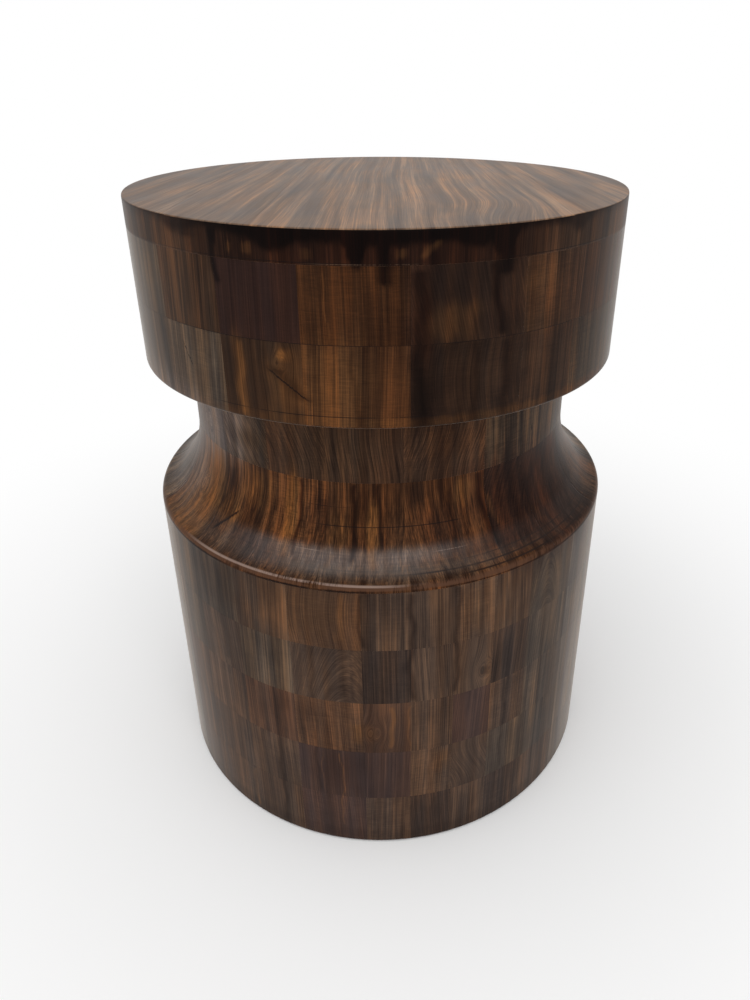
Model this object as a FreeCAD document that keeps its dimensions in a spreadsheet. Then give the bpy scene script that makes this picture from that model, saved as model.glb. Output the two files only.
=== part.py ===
import FreeCAD, Part
import os
import Sketcher

# A round pedestal table in dark wood: a drum top, a narrower neck and a taller drum below.
# It is glued up from rings of wedge-shaped blocks with upright grain, turned to one outline,
# hollow at the core, and closed by a board of edge-glued planks on top and a disc below.
# The origin is on the floor at the middle of the foot. +Z is up, and -Y is the front.

SIZES = {
    "lower_drum_radius": 216,
    "upper_drum_inset": 5,
    "neck_inset": 42,
    "lip_roll": 6,
    "cove_turn_angle": 42,
    "lip_turn_angle": 72,
    "rim_ease": 1.5,
    "drum_ease": 3,
    "top_board_height": 23,
    "upper_first_height": 53,
    "upper_second_height": 61,
    "neck_height": 64,
    "cove_height": 73,
    "lower_course_height": 57,
    "neck_wall": 49,
    "foot_wall": 51,
    "glue_line": 0.2,
    "blank_overrun": 10,
    "base_board_height": 12,
    "base_board_gap": 1,
    "screw_length": 38,
    "screw_shank_radius": 2,
    "screw_head_radius": 4.5,
    "screw_head_height": 2.5,
    "pad_width": 30,
    "pad_height": 2,
}

# Angle that each block of a half ring takes, from the left joint over the front to the right
WIDE_BLOCKS = [22, 22, 16.5, 17, 20, 22.5, 14, 22, 24]
NARROW_BLOCKS = [11, 9.5, 12.5, 11.3, 13.1, 13.6, 16, 10.6, 9.8, 9.4, 10, 14.9, 11.3, 14, 13]

# Shares of the board's width that each plank takes, from left to right
PLANK_SHARES = [0.165, 0.158, 0.181, 0.172, 0.149, 0.175]

# The half rings, by the angle of their first joint from the front towards the right
HALF_RINGS = {"front": -90, "back": 90}

# Screws of the base board go up the middle of two blocks in each half ring
SCREW_ANGLES = [-51.35, 44.25]
PAD_ANGLES = [-45, 45, 135, 225]

# The base board is sawn to a polygon
BOARD_SIDE_COUNT = 8

# Straight cuts that stand for each arc of the lip and the cove
LIP_CUT_COUNT = 2
LOWER_COVE_CUT_COUNT = 2
UPPER_COVE_CUT_COUNT = 4

doc = FreeCAD.newDocument("PedestalTable")
sheet = doc.addObject("Spreadsheet::Sheet", "Sizes")
for row, (alias, value) in enumerate(SIZES.items(), start=1):
    sheet.set(f"A{row}", alias)
    sheet.set(f"B{row}", str(value))
    sheet.setAlias(f"B{row}", alias)
doc.recompute()


def cell(alias):
    """Name a size of the sheet the way an expression reads it."""
    return f"Sizes.{alias}"


def bind(item, **expressions):
    """Tie properties of an object to expressions on the sheet."""
    for name, expression in expressions.items():
        item.setExpression(name.replace("__", "."), expression)


# Sketching and turning


def pin_point(sketch, line, across, up):
    """Hold the far end of a line at a place given by expressions."""
    for expression, kind, axis in [(across, "DistanceX", -2), (up, "DistanceY", -1)]:
        if expression == "0":
            sketch.addConstraint(Sketcher.Constraint("PointOnObject", line, 2, axis))
            continue
        value = float(sketch.evalExpression(expression))
        index = sketch.addConstraint(Sketcher.Constraint(kind, -1, 1, line, 2, value))
        sketch.setExpression(f"Constraints[{index}]", expression)


def draw_outline(sketch, points):
    """Draw half a section from the middle of the underside round to the middle of the top."""
    here = FreeCAD.Vector(0, 0, 0)
    line = None
    for across, up in points:
        last = line
        there = FreeCAD.Vector(float(sketch.evalExpression(across)), float(sketch.evalExpression(up)), 0)
        line = sketch.addGeometry(Part.LineSegment(here, there), False)
        start = (-1, 1) if last is None else (last, 2)
        sketch.addConstraint(Sketcher.Constraint("Coincident", line, 1, *start))
        pin_point(sketch, line, across, up)
        here = there
    axis = sketch.addGeometry(Part.LineSegment(here, FreeCAD.Vector(0, 0, 0)), False)
    sketch.addConstraint(Sketcher.Constraint("Coincident", axis, 1, line, 2))
    sketch.addConstraint(Sketcher.Constraint("Coincident", axis, 2, -1, 1))


def turned_body(name, points, base):
    """Turn a half section into a solid of revolution that stands at the height of base."""
    body = doc.addObject("PartDesign::Body", name)
    sketch = body.newObject("Sketcher::SketchObject", name + "_section")
    planes = [item for item in body.Origin.OriginFeatures if item.Role == "XZ_Plane"]
    sketch.AttachmentSupport = [(planes[0], "")]
    sketch.MapMode = "FlatFace"
    draw_outline(sketch, points)
    turning = body.newObject("PartDesign::Revolution", name + "_turning")
    turning.Profile = sketch
    turning.ReferenceAxis = (sketch, ["V_Axis"])
    turning.Angle = 360
    bind(body, Placement__Base__z=base)
    return body


# Outlines, each from the underside of its own course


def straight_outline(radius, height):
    return [(radius, "0"), (radius, height), ("0", height)]


def eased_top_outline(radius, height, ease):
    return [(radius, "0"), (radius, f"({height} - {ease})"), (f"({radius} - {ease})", height), ("0", height)]


def eased_foot_outline(radius, height, ease):
    return [(f"({radius} - {ease})", "0"), (radius, ease), (radius, height), ("0", height)]


def arc_cuts(centre, radius, first_angle, last_angle, cuts):
    """Points along an arc, one for each straight cut, without the first point."""
    points = []
    for cut_number in range(1, cuts + 1):
        share = cut_number / cuts
        angle = f"(({first_angle} + ({last_angle} - {first_angle}) * {share}) * 1 deg)"
        points.append((f"({centre[0]} + {radius} * cos{angle})", f"({centre[1]} + {radius} * sin{angle})"))
    return points


def cove_outline(low, neck):
    """A rolled lip, then a cove of two arcs that meets the neck upright, all tangent."""
    lip = cell("lip_roll")
    height = cell("cove_height")
    turn, roll = cell("cove_turn_angle"), cell("lip_turn_angle")
    cos_turn, sin_turn = f"cos({turn} * 1 deg)", f"sin({turn} * 1 deg)"
    cos_roll, sin_roll = f"cos({roll} * 1 deg)", f"sin({roll} * 1 deg)"
    roll_x = f"({low} - {lip} * (1 - {cos_roll}))"
    roll_z = f"({lip} * {sin_roll})"

    # The two radii follow from how far the cove has to reach out and down
    reach = f"({roll_x} - {neck})"
    drop = f"({height} - {roll_z})"
    spread = f"((1 - {cos_turn}) * ({sin_roll} - {sin_turn}) - ({cos_turn} - {cos_roll}) * {sin_turn})"
    upper = f"(({reach} * ({sin_roll} - {sin_turn}) - {drop} * ({cos_turn} - {cos_roll})) / {spread})"
    lower = f"(((1 - {cos_turn}) * {drop} - {sin_turn} * {reach}) / {spread})"
    lip_centre = (f"({low} - {lip})", "0")
    lower_centre = (f"({roll_x} + {lower} * {cos_roll})", f"({roll_z} + {lower} * {sin_roll})")
    upper_centre = (f"({neck} + {upper})", height)
    return [
        (low, "0"),
        *arc_cuts(lip_centre, lip, "0", roll, LIP_CUT_COUNT),
        *arc_cuts(lower_centre, lower, f"({roll} + 180)", f"({turn} + 180)", LOWER_COVE_CUT_COUNT),
        *arc_cuts(upper_centre, upper, f"({turn} + 180)", "180", UPPER_COVE_CUT_COUNT),
        ("0", height),
    ]


# Rings of blocks


def wedge_blank(name, width, angle, base, height, inside):
    """One block as it is sawn: a wedge whose small end is the flat wall of the core."""
    half = f"tan({width / 2} deg)"
    outside = f"({cell('lower_drum_radius')} + {cell('blank_overrun')})"
    near = f"({inside} * {half} - {cell('glue_line')} / 2)"
    far = f"({outside} * {half} - {cell('glue_line')} / 2)"
    blank = doc.addObject("Part::Wedge", name)
    bind(blank, Xmin=f"-{near}", Xmax=near, X2min=f"-{far}", X2max=far)
    bind(blank, Ymin=inside, Ymax=outside)
    bind(blank, Zmin="0", Z2min="0", Zmax=height, Z2max=height)
    turn = FreeCAD.Rotation(FreeCAD.Vector(0, 0, 1), 180 + angle)
    blank.Placement = FreeCAD.Placement(FreeCAD.Vector(0, 0, 0), turn)
    bind(blank, Placement__Base__z=base)
    return blank


def block_centres(widths, first_joint):
    """Middle angle of each block of a half ring, from the front towards the right."""
    return [first_joint + sum(widths[:place]) + width / 2 for place, width in enumerate(widths)]


def lay_course(name, turned, widths, base, height, inside):
    """Glue up one ring: two halves, each a group of blocks cut to the turned outline."""
    for side, first_joint in HALF_RINGS.items():
        blocks = []
        centres = block_centres(widths, first_joint)
        for number, (width, angle) in enumerate(zip(widths, centres), start=1):
            label = f"{name}_{side}_{number}"
            blank = wedge_blank(label + "_blank", width, angle, base, height, inside)
            block = doc.addObject("Part::Common", label)
            block.Base = blank
            block.Tool = turned
            blocks.append(block)
        group = doc.addObject("Part::Compound", f"{name}_{side}_blocks")
        group.Links = blocks
        nodes.append(group)


# Top board, base board, screws and pads


def lay_top_board(turned, radius, base):
    """Planks that run from front to back, edge-glued, and turned to the drum's rim."""
    glue = cell("glue_line")
    before = 0
    for number, share in enumerate(PLANK_SHARES, start=1):
        blank = doc.addObject("Part::Box", f"top_plank_{number}_blank")
        bind(blank, Length=f"2 * {radius} * {share} - {glue}", Width=f"2 * {radius}")
        bind(blank, Height=cell("top_board_height"))
        bind(blank, Placement__Base__x=f"2 * {radius} * {before} - {radius} + {glue} / 2")
        bind(blank, Placement__Base__y=f"-{radius}", Placement__Base__z=base)
        plank = doc.addObject("Part::Common", f"top_plank_{number}")
        plank.Base = blank
        plank.Tool = turned
        nodes.append(plank)
        before += share


def place_round(item, angle, radius, lift):
    """Stand an object at an angle from the front, at a radius and a height."""
    bind(item, Placement__Base__x=f"{radius} * sin({angle} deg)")
    bind(item, Placement__Base__y=f"-{radius} * cos({angle} deg)")
    bind(item, Placement__Base__z=lift)


def base_screws(underside, radius):
    """Hexagon-headed screws through the base board, up into the blocks above it."""
    head_height = cell("screw_head_height")
    screws = []
    for side, first_joint in HALF_RINGS.items():
        for number, from_middle in enumerate(SCREW_ANGLES, start=1):
            angle = first_joint + 90 + from_middle
            name = f"screw_{side}_{number}"
            head = doc.addObject("Part::Prism", name + "_head")
            bind(head, Circumradius=cell("screw_head_radius"), Height=head_height)
            shank = doc.addObject("Part::Cylinder", name + "_shank")
            bind(shank, Radius=cell("screw_shank_radius"), Height=cell("screw_length"))
            place_round(head, angle, radius, f"({underside} - {head_height})")
            place_round(shank, angle, radius, underside)
            screw = doc.addObject("Part::Fuse", name)
            screw.Base = head
            screw.Tool = shank
            screws.append(screw)
    group = doc.addObject("Part::Compound", "base_screws")
    group.Links = screws
    return group


def cut(name, body, tool):
    item = doc.addObject("Part::Cut", name)
    item.Base = body
    item.Tool = tool
    return item


def felt_pads(radius):
    """Square pads under the foot, each turned to face outwards."""
    half = f"({cell('pad_width')} / 2)"
    pads = []
    for number, angle in enumerate(PAD_ANGLES, start=1):
        pad = doc.addObject("Part::Box", f"felt_pad_{number}")
        bind(pad, Length=cell("pad_width"), Width=cell("pad_width"), Height=cell("pad_height"))
        turn = FreeCAD.Rotation(FreeCAD.Vector(0, 0, 1), angle)
        pad.Placement = FreeCAD.Placement(FreeCAD.Vector(0, 0, 0), turn)
        near = f"({radius} + {half})"
        bind(pad, Placement__Base__x=f"{near} * sin({angle} deg) - {half} * cos({angle} deg)")
        bind(pad, Placement__Base__y=f"-{near} * cos({angle} deg) - {half} * sin({angle} deg)")
        pads.append(pad)
    group = doc.addObject("Part::Compound", "felt_pads")
    group.Links = pads
    return group


# The table, from the floor up

nodes = []
low = cell("lower_drum_radius")
upper = f"({low} - {cell('upper_drum_inset')})"
neck = f"({low} - {cell('neck_inset')})"
core = f"({neck} - {cell('neck_wall')})"
foot_core = f"({low} - {cell('foot_wall')})"
course = cell("lower_course_height")

# The foot course has a wider core, so the course above it is a ledge for the base board
foot_base = cell("pad_height")
ledge = f"({foot_base} + {course})"
board_base = f"({ledge} - {cell('base_board_height')})"
board_radius = f"({foot_core} - {cell('base_board_gap')})"
screws = base_screws(board_base, f"(({core} + {board_radius} * cos(180 deg / {BOARD_SIDE_COUNT})) / 2)")
nodes.append(screws)

pads = felt_pads(f"(({foot_core} + {low}) / 2)")
nodes.append(pads)

board_blank = doc.addObject("Part::Prism", "base_board_blank")
board_blank.Polygon = BOARD_SIDE_COUNT
bind(board_blank, Circumradius=board_radius, Height=cell("base_board_height"))
bind(board_blank, Placement__Base__z=board_base)
nodes.append(cut("base_board", board_blank, screws))

foot = turned_body("lower_drum_5_outline", straight_outline(low, course), foot_base)
lay_course("lower_drum_5", foot, NARROW_BLOCKS, foot_base, course, foot_core)

base = ledge
for level in (4, 3, 2, 1):
    ring = turned_body(f"lower_drum_{level}_outline", straight_outline(low, course), base)
    if level == 4:
        ring = cut("lower_drum_4_bored", ring, screws)
    lay_course(f"lower_drum_{level}", ring, NARROW_BLOCKS, base, course, core)
    base = f"({base} + {course})"

UPPER_COURSES = [
    ("cove", cove_outline(low, neck), "cove_height"),
    ("neck", straight_outline(neck, cell("neck_height")), "neck_height"),
    (
        "upper_drum_2",
        eased_foot_outline(upper, cell("upper_second_height"), cell("drum_ease")),
        "upper_second_height",
    ),
    ("upper_drum_1", straight_outline(upper, cell("upper_first_height")), "upper_first_height"),
]
for name, outline, height in UPPER_COURSES:
    ring = turned_body(name + "_outline", outline, base)
    lay_course(name, ring, WIDE_BLOCKS, base, cell(height), core)
    base = f"({base} + {cell(height)})"

rim = eased_top_outline(upper, cell("top_board_height"), cell("rim_ease"))
lay_top_board(turned_body("top_board_outline", rim, base), upper, base)

# Recompute, check and write

doc.recompute()
for item in doc.Objects:
    if "Invalid" in item.State or "Error" in item.State:
        raise RuntimeError(f"{item.Name} failed: {item.State}")
for node in nodes:
    if node.Shape.isNull() or not node.Shape.isValid():
        raise RuntimeError(f"{node.Label} has no valid shape")

os.makedirs("parts", exist_ok=True)
for node in nodes:
    node.Shape.exportStep(f"parts/{node.Label}.step")
    print(node.Label, len(node.Shape.Solids), "solids", round(node.Shape.Volume / 1000), "cm3")
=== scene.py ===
import math
import random
from types import SimpleNamespace

import bpy
import numpy as np
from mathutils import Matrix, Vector


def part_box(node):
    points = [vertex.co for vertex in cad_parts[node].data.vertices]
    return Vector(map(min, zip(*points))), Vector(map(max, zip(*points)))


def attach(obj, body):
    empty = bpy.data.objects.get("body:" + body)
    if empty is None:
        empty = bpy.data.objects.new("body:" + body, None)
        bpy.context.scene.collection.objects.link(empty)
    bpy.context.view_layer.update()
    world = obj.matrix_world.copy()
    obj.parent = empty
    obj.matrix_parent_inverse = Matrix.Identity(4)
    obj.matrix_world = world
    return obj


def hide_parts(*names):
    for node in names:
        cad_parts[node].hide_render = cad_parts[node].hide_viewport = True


# A round pedestal table glued up from rings of stained wood blocks under a planked top.
# Metres, +Z up, -Y the front. Angles round the table count in degrees from the front
# towards the right. Tables of marks and patches give heights in millimetres.

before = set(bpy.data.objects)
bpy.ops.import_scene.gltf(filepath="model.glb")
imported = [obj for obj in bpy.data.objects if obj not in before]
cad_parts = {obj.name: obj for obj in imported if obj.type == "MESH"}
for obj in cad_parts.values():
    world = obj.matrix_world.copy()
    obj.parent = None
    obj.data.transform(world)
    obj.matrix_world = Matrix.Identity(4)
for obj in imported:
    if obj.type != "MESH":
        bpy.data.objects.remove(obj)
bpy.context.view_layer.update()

MILLIMETRES = 1000

# Widths of the blocks of a half ring in degrees, and where it starts, the same as in the solids
WIDE_BLOCKS = [22, 22, 16.5, 17, 20, 22.5, 14, 22, 24]
NARROW_BLOCKS = [11, 9.5, 12.5, 11.3, 13.1, 13.6, 16, 10.6, 9.8, 9.4, 10, 14.9, 11.3, 14, 13]
FIRST_JOINT = {"front": -90, "back": 90}

# The courses from the top down, with the widths of their blocks
COURSES = {
    "upper_drum_1": WIDE_BLOCKS, "upper_drum_2": WIDE_BLOCKS, "neck": WIDE_BLOCKS, "cove": WIDE_BLOCKS,
    **{f"lower_drum_{number}": NARROW_BLOCKS for number in range(1, 6)},
}

# From the axis to the flat inner faces of the blocks, and the same in the foot
CORE = 0.125
FOOT_CORE = 0.165

# Depth of the fine line that shows where two blocks meet
HAIRLINE = 0.00006

# How close the points of a half ring's mesh are, round it and up it
COLUMN_SPACING = {"front": 0.0013, "back": 0.0026}
ROW_SPACING = {"front": 0.0025, "back": 0.005}

# Stains, named as a finisher would, as linear red, green and blue. The pale grey stains of the side
# blocks are partly painted sheen.
STAINS = {
    "gold": (0.105, 0.047, 0.0165),
    "amber": (0.066, 0.027, 0.0105),
    "honey": (0.046, 0.0175, 0.0062),
    "chestnut": (0.047, 0.0195, 0.0095),
    "russet": (0.042, 0.0165, 0.0085),
    "walnut": (0.046, 0.024, 0.0135),
    "plum": (0.031, 0.0142, 0.0115),
    "olive": (0.048, 0.0305, 0.0185),
    # Grey stains made lighter and greyer as painted sheen, for the blocks at the sides
    "ash": (0.087, 0.063, 0.045),
    "silver": (0.112, 0.076, 0.050),
    "umber": (0.022, 0.0112, 0.0076),
    # Painted sheen: pale grey where light glances off the lacquer
    "haze": (0.135, 0.098, 0.080),
    "tan": (0.150, 0.094, 0.060),
    "orange": (0.27, 0.155, 0.085),
    "slate": (0.062, 0.048, 0.040),
    "oxblood": (0.026, 0.0095, 0.0052),
}

# The stain of each front block, from left to right. The pale grey blocks near both ends are lighter and
# greyer as painted sheen where light glances off the sides.
FRONT_STAINS = {
    "upper_drum_1": "ash ash walnut plum honey umber walnut walnut olive",
    "upper_drum_2": "ash ash ash walnut amber umber umber olive olive",
    "neck": "haze ash olive walnut walnut walnut olive olive ash",
    "cove": "ash gold amber amber amber amber umber umber walnut",
    "lower_drum_1":
        "silver silver ash olive olive walnut amber walnut walnut walnut walnut olive ash silver silver",
    "lower_drum_2":
        "silver ash ash olive walnut olive walnut umber walnut walnut umber olive ash ash silver",
    "lower_drum_3":
        "ash silver ash walnut walnut chestnut amber chestnut walnut plum walnut olive ash silver ash",
    "lower_drum_4":
        "silver silver ash walnut walnut walnut plum plum walnut walnut olive olive ash ash silver",
    "lower_drum_5":
        "ash silver ash walnut walnut walnut plum walnut umber walnut umber walnut ash silver ash",
}

# The stains that the blocks of the back are drawn from
BACK_STAINS = ["olive", "walnut", "walnut", "amber", "olive", "plum", "chestnut", "walnut", "olive"]

# By the first word of a course: how strongly its stripes show, how far its blocks are drawn to
# one stain, and what its stains are multiplied by
BOLDNESS = {"upper": 0.75, "neck": 1.1, "cove": 1.1, "lower": 0.72}
EVENNESS = {"upper": 0.1, "neck": 0.1, "cove": 0.1, "lower": 0.3}
# Lower drum lighter and greyer, upper drum darker: painted reflection of the bright floor and the dim
# room
COURSE_TINT_AND_REFLECTION = {
    "upper": (0.82, 0.8, 0.78), "neck": (1.08, 1.02, 1),
    "cove": (1.1, 1.08, 1.08), "lower": (1.28, 1.38, 1.56),
}

# Stains under which the stripes show less
QUIET_STAINS = {"plum": 0.6, "ash": 0.8, "silver": 0.8}


# Shader nodes

# Places of the sockets of a Mix node that mixes colours
FACTOR, FIRST_COLOUR, SECOND_COLOUR, MIXED_COLOUR = 0, 6, 7, 2


class Wire:
    """A socket of a finish. Sums on it add their Math nodes."""

    def __init__(self, finish, socket):
        self.finish = finish
        self.socket = socket

    def math(self, operation, *others):
        values = {place: value for place, value in enumerate([self, *others])}
        return self.finish.add("ShaderNodeMath", {"operation": operation}, values)

    def __add__(self, other):
        return self.math("ADD", other)

    def __mul__(self, other):
        return self.math("MULTIPLY", other)

    def __sub__(self, other):
        return self.math("SUBTRACT", other)

    def __rsub__(self, other):
        return self * -1 + other

    def __abs__(self):
        return self.math("ABSOLUTE")

    __radd__ = __add__
    __rmul__ = __mul__


class Finish:
    """The nodes of a material or of the world, and the one way that they are added."""

    def __init__(self, owner):
        owner.use_nodes = True
        self.owner = owner
        self.tree = owner.node_tree
        self.tree.nodes.clear()

    def add(self, kind, settings, sockets, out=0):
        """Add a node, set it up, fill or link its sockets, and give one of its outputs."""
        node = self.tree.nodes.new(kind)
        for name, value in settings.items():
            if name == "stops":
                lay_stops(node.color_ramp, value)
            else:
                setattr(node, name, value)
        for name, value in sockets.items():
            if isinstance(value, Wire):
                self.tree.links.new(value.socket, node.inputs[name])
            else:
                node.inputs[name].default_value = value
        return Wire(self, node.outputs[out]) if node.outputs else None

    def attribute(self, name, out="Vector"):
        return self.add("ShaderNodeAttribute", {"attribute_name": name}, {}, out)

    def place(self):
        """Where a point of the surface is, in metres."""
        return self.add("ShaderNodeTexCoord", {}, {}, "Object")

    def parts(self, vector):
        """The three numbers of a vector."""
        first = self.add("ShaderNodeSeparateXYZ", {}, {"Vector": vector})
        return [Wire(self, output) for output in first.socket.node.outputs]

    def stretch(self, vector, factors):
        return self.add("ShaderNodeVectorMath", {"operation": "MULTIPLY"}, {0: vector, 1: factors})

    def noise(self, vector, factors, detail=2, roughness=0.5, distortion=0):
        """Soft noise on a stretched vector, from 0 to 1 about a half."""
        return self.add("ShaderNodeTexNoise", {}, {
            "Vector": self.stretch(vector, factors), "Scale": 1, "Detail": detail,
            "Roughness": roughness, "Distortion": distortion,
        })

    def ease(self, value, low, high, first=0, last=1):
        """A smooth step from first to last as the value goes from low to high."""
        return self.add("ShaderNodeMapRange", {"interpolation_type": "SMOOTHSTEP"}, {
            "Value": value, "From Min": low, "From Max": high, "To Min": first, "To Max": last,
        })

    def mix(self, share, first, second, blend="MIX"):
        return self.add("ShaderNodeMix", {"data_type": "RGBA", "blend_type": blend}, {
            FACTOR: share, FIRST_COLOUR: first, SECOND_COLOUR: second,
        }, MIXED_COLOUR)

    def tint(self, colour, factors):
        return self.mix(1.0, colour, (*factors, 1), "MULTIPLY")

    def ramp(self, value, *stops):
        """A colour for each value, between stops of a place and its colour."""
        return self.add("ShaderNodeValToRGB", {"stops": stops}, {"Fac": value})

    def bump(self, height, strength, distance):
        return self.add("ShaderNodeBump", {}, {
            "Strength": strength, "Distance": distance, "Height": height,
        })

    def surface(self, **sockets):
        """The shader itself, with its sockets named in words."""
        named = {name.replace("_", " "): value for name, value in sockets.items()}
        shader = self.add("ShaderNodeBsdfPrincipled", {}, named)
        self.add("ShaderNodeOutputMaterial", {}, {"Surface": shader})
        return self.owner


def new_finish(name):
    return Finish(bpy.data.materials.new(name))


def lay_stops(ramp, stops):
    while len(ramp.elements) < len(stops):
        ramp.elements.new(0.5)
    for element, (place, colour) in zip(ramp.elements, stops):
        element.position = place
        element.color = (*colour, 1)


# Finish of the stained wood

# Thin lines along the seams: height and half thickness in millimetres, the angles where the
# line starts and ends, and its colour
FILLER = (0.13, 0.08, 0.05, 1)
# Pale lines: a painted highlight on the lip's roll, and short thin pale lines above the lip
PALE_LINE_AND_HIGHLIGHT = (0.27, 0.19, 0.155, 1)
TURNED = (0.016, 0.009, 0.007, 1)
SHADE = (0.006, 0.0035, 0.0035, 1)
# Rubbed wear on the lip's roll, made lighter in part as a painted highlight
RUBBED_AND_HIGHLIGHT = (0.085, 0.04, 0.023, 1)
SEAM_LINES = [
    (538.9, 0.16, -13, 13, FILLER), (539.4, 0.2, -60, 62, SHADE), (433.2, 0.3, -38, 20, SHADE),
    (324.7, 0.3, -24, 40, SHADE), (339.0, 0.22, -22, -4, SHADE), (485.1, 0.22, -60, 60, SHADE),
    # The pale line at 291.7 mm is a painted highlight along the lip's roll
    (290.4, 1.5, -88, 88, RUBBED_AND_HIGHLIGHT), (291.7, 0.55, -52, 12, PALE_LINE_AND_HIGHLIGHT), (287.6, 0.8, -80, 8, SHADE),
    (288.0, 0.3, 8, 80, SHADE), (295.6, 0.3, 0, 75, TURNED), (299.2, 0.22, 14, 75, TURNED),
    (293.2, 0.25, 8, 70, TURNED), (307.0, 0.16, -23, -12, PALE_LINE_AND_HIGHLIGHT), (306.2, 0.14, 12, 24, PALE_LINE_AND_HIGHLIGHT),
]

# Cracks: angle and height of the top end, the lean to the bottom end, its height, and half width
# in degrees
CRACKS = [
    (-20, 467, 9, 442, 0.35), (47, 394, 3, 350, 0.22),
    (-37.5, 320, -7, 298, 0.4), (-41, 474, 3, 452, 0.15),
]


def wood_layers(finish):
    """The noises that the wood is made of, from single fibres to broad clouds."""
    grain = finish.attribute("grain")
    flow = finish.attribute("flow")
    return SimpleNamespace(
        fibre=finish.noise(grain, (2300, 2300, 22), 2, 0.6),
        line=finish.noise(grain, (900, 900, 6), 3, 0.65, 0.1),
        streak=finish.noise(grain, (240, 240, 3), 3, 0.55, 0.15),
        run=finish.noise(flow, (130, 130, 2.2), 3, 0.55, 0.3),
        band=finish.noise(flow, (40, 40, 3.2), 2, 0.5, 0.4),
        hue=finish.noise(flow, (70, 70, 6), 2, 0.5, 0.2),
        drift=finish.noise(flow, (16, 16, 90), 2),
        brushed=finish.noise(flow, (28, 28, 1000), 2, 0.6),
        cloud=finish.noise(grain, (26, 26, 15), 3, 0.6),
        curl=finish.noise(grain, (38, 38, 380), 2, 0.5, 3.0),
        pore=finish.ease(finish.noise(grain, (1500, 1500, 170), 1), 0.64, 0.74),
    )


def wood_tone(finish, layers, gloss):
    """How light the wood is at each place, about a half."""
    ripple, boldness, _ = finish.parts(finish.attribute("figure"))
    tone = (layers.fibre - 0.5) * 0.9 + (layers.line - 0.5) * 1.25 + (layers.streak - 0.5) * 0.6
    tone = tone + (layers.run - 0.5) * 0.85 + (layers.band - 0.5) * 1.0 + (layers.cloud - 0.5) * 0.8
    tone = tone - layers.pore * 0.1 + (layers.curl - 0.5) * ripple + (layers.brushed - 0.5) * gloss * 0.6
    return 0.52 + tone * boldness


def wood_colour(finish, layers, tone):
    """The stain, darker and lighter with the grain, here cooler and there warmer."""
    stain = finish.attribute("stain", "Color")
    shadow = finish.tint(stain, (0.27, 0.245, 0.28))
    light = finish.tint(stain, (2.45, 2.2, 1.85))
    colour = finish.mix(finish.ease(tone, 0.7, 0.1), stain, shadow)
    colour = finish.mix(finish.ease(tone, 0.5, 1.0), colour, light)
    cool = finish.tint(colour, (0.94, 0.98, 1.05))
    warm = finish.tint(colour, (1.08, 0.98, 0.88))
    return finish.mix(finish.ease(layers.hue, 0.36, 0.64), cool, warm)


def streaked(finish, colour, dark, bright):
    """Dark and bright streaks over a colour."""
    colour = finish.mix(dark * 0.95, colour, finish.tint(colour, (0.15, 0.11, 0.13)))
    glow = finish.mix(0.5, finish.tint(colour, (2.4, 2.1, 1.6)), (0.12, 0.053, 0.018, 1))
    return finish.mix(bright * 0.8, colour, glow)


def lined(finish, colour, layers, place):
    """Seam lines, painted highlights on the lip among them, and cracks over a colour."""
    x, y, z = finish.parts(place)
    angle = x.math("ARCTAN2", y * -1) * math.degrees(1)
    height = z * MILLIMETRES
    for row in SEAM_LINES:
        colour = seam_line(finish, colour, angle, height, layers.drift + (layers.line - 0.5) * 0.5, *row)
    for row in CRACKS:
        colour = crack(finish, colour, angle + (layers.line - 0.5) * 1.5, height, *row)
    return colour


def seam_line(finish, colour, angle, height, rag, at, half, first, last, paint):
    """A thin ragged line round part of a seam."""
    reach = (last - first) / 2
    inside = finish.ease(abs(angle - (first + last) / 2), reach, reach - min(14, reach * 0.7))
    near = finish.ease(abs(height - at), half * 1.6, half * 0.5)
    return finish.mix(inside * near * finish.ease(rag, 0.34, 0.52) * 0.85, colour, paint)


def crack(finish, colour, angle, height, at, top, lean, bottom, half):
    """A dark hair crack that thins out at its ends."""
    share = (height - top) * (1 / (bottom - top))
    middle = finish.ease(abs(share - 0.5), 0.5, 0.3)
    near = finish.ease(abs(angle - at - share * lean), half, half * 0.3)
    return finish.mix(middle * near * 0.9, colour, SHADE)


def stained_wood(name, specular, sheen):
    """Stained wood under satin lacquer: fibres, lines and streaks that run along the grain."""
    finish = new_finish(name)
    place = finish.place()
    dark_mark, bright_mark, gloss = finish.parts(finish.attribute("marks"))
    layers = wood_layers(finish)
    rag = (layers.streak - 0.5) * 0.8 + (layers.line - 0.5) * 0.9
    dark = finish.ease(dark_mark * (1 + rag * 1.5), 0, 1)
    bright = finish.ease(bright_mark + rag, 0.2, 1.0)
    colour = wood_colour(finish, layers, wood_tone(finish, layers, gloss))
    colour = lined(finish, streaked(finish, colour, dark, bright), layers, place)
    lacquer = finish.noise(place, (130, 130, 130), 1)
    relief = layers.fibre * 0.4 + layers.line * 0.4 + lacquer * 0.5 - dark * 0.3 - layers.pore * 0.25
    return finish.surface(
        Base_Color=colour,
        Roughness=0.42 + (layers.line - 0.5) * 0.2 + (layers.cloud - 0.5) * 0.22,
        Normal=finish.bump(relief, 0.14, 0.0004),
        IOR=1.45,
        Specular_IOR_Level=specular,
        Sheen_Weight=sheen,
        Sheen_Roughness=0.25,
        Sheen_Tint=(1, 0.93, 0.86, 1),
        Coat_Weight=gloss * (layers.cloud + layers.streak - 0.3),
        Coat_Roughness=0.32,
    )


# Finishes of the board, the screws and the felt


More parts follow.
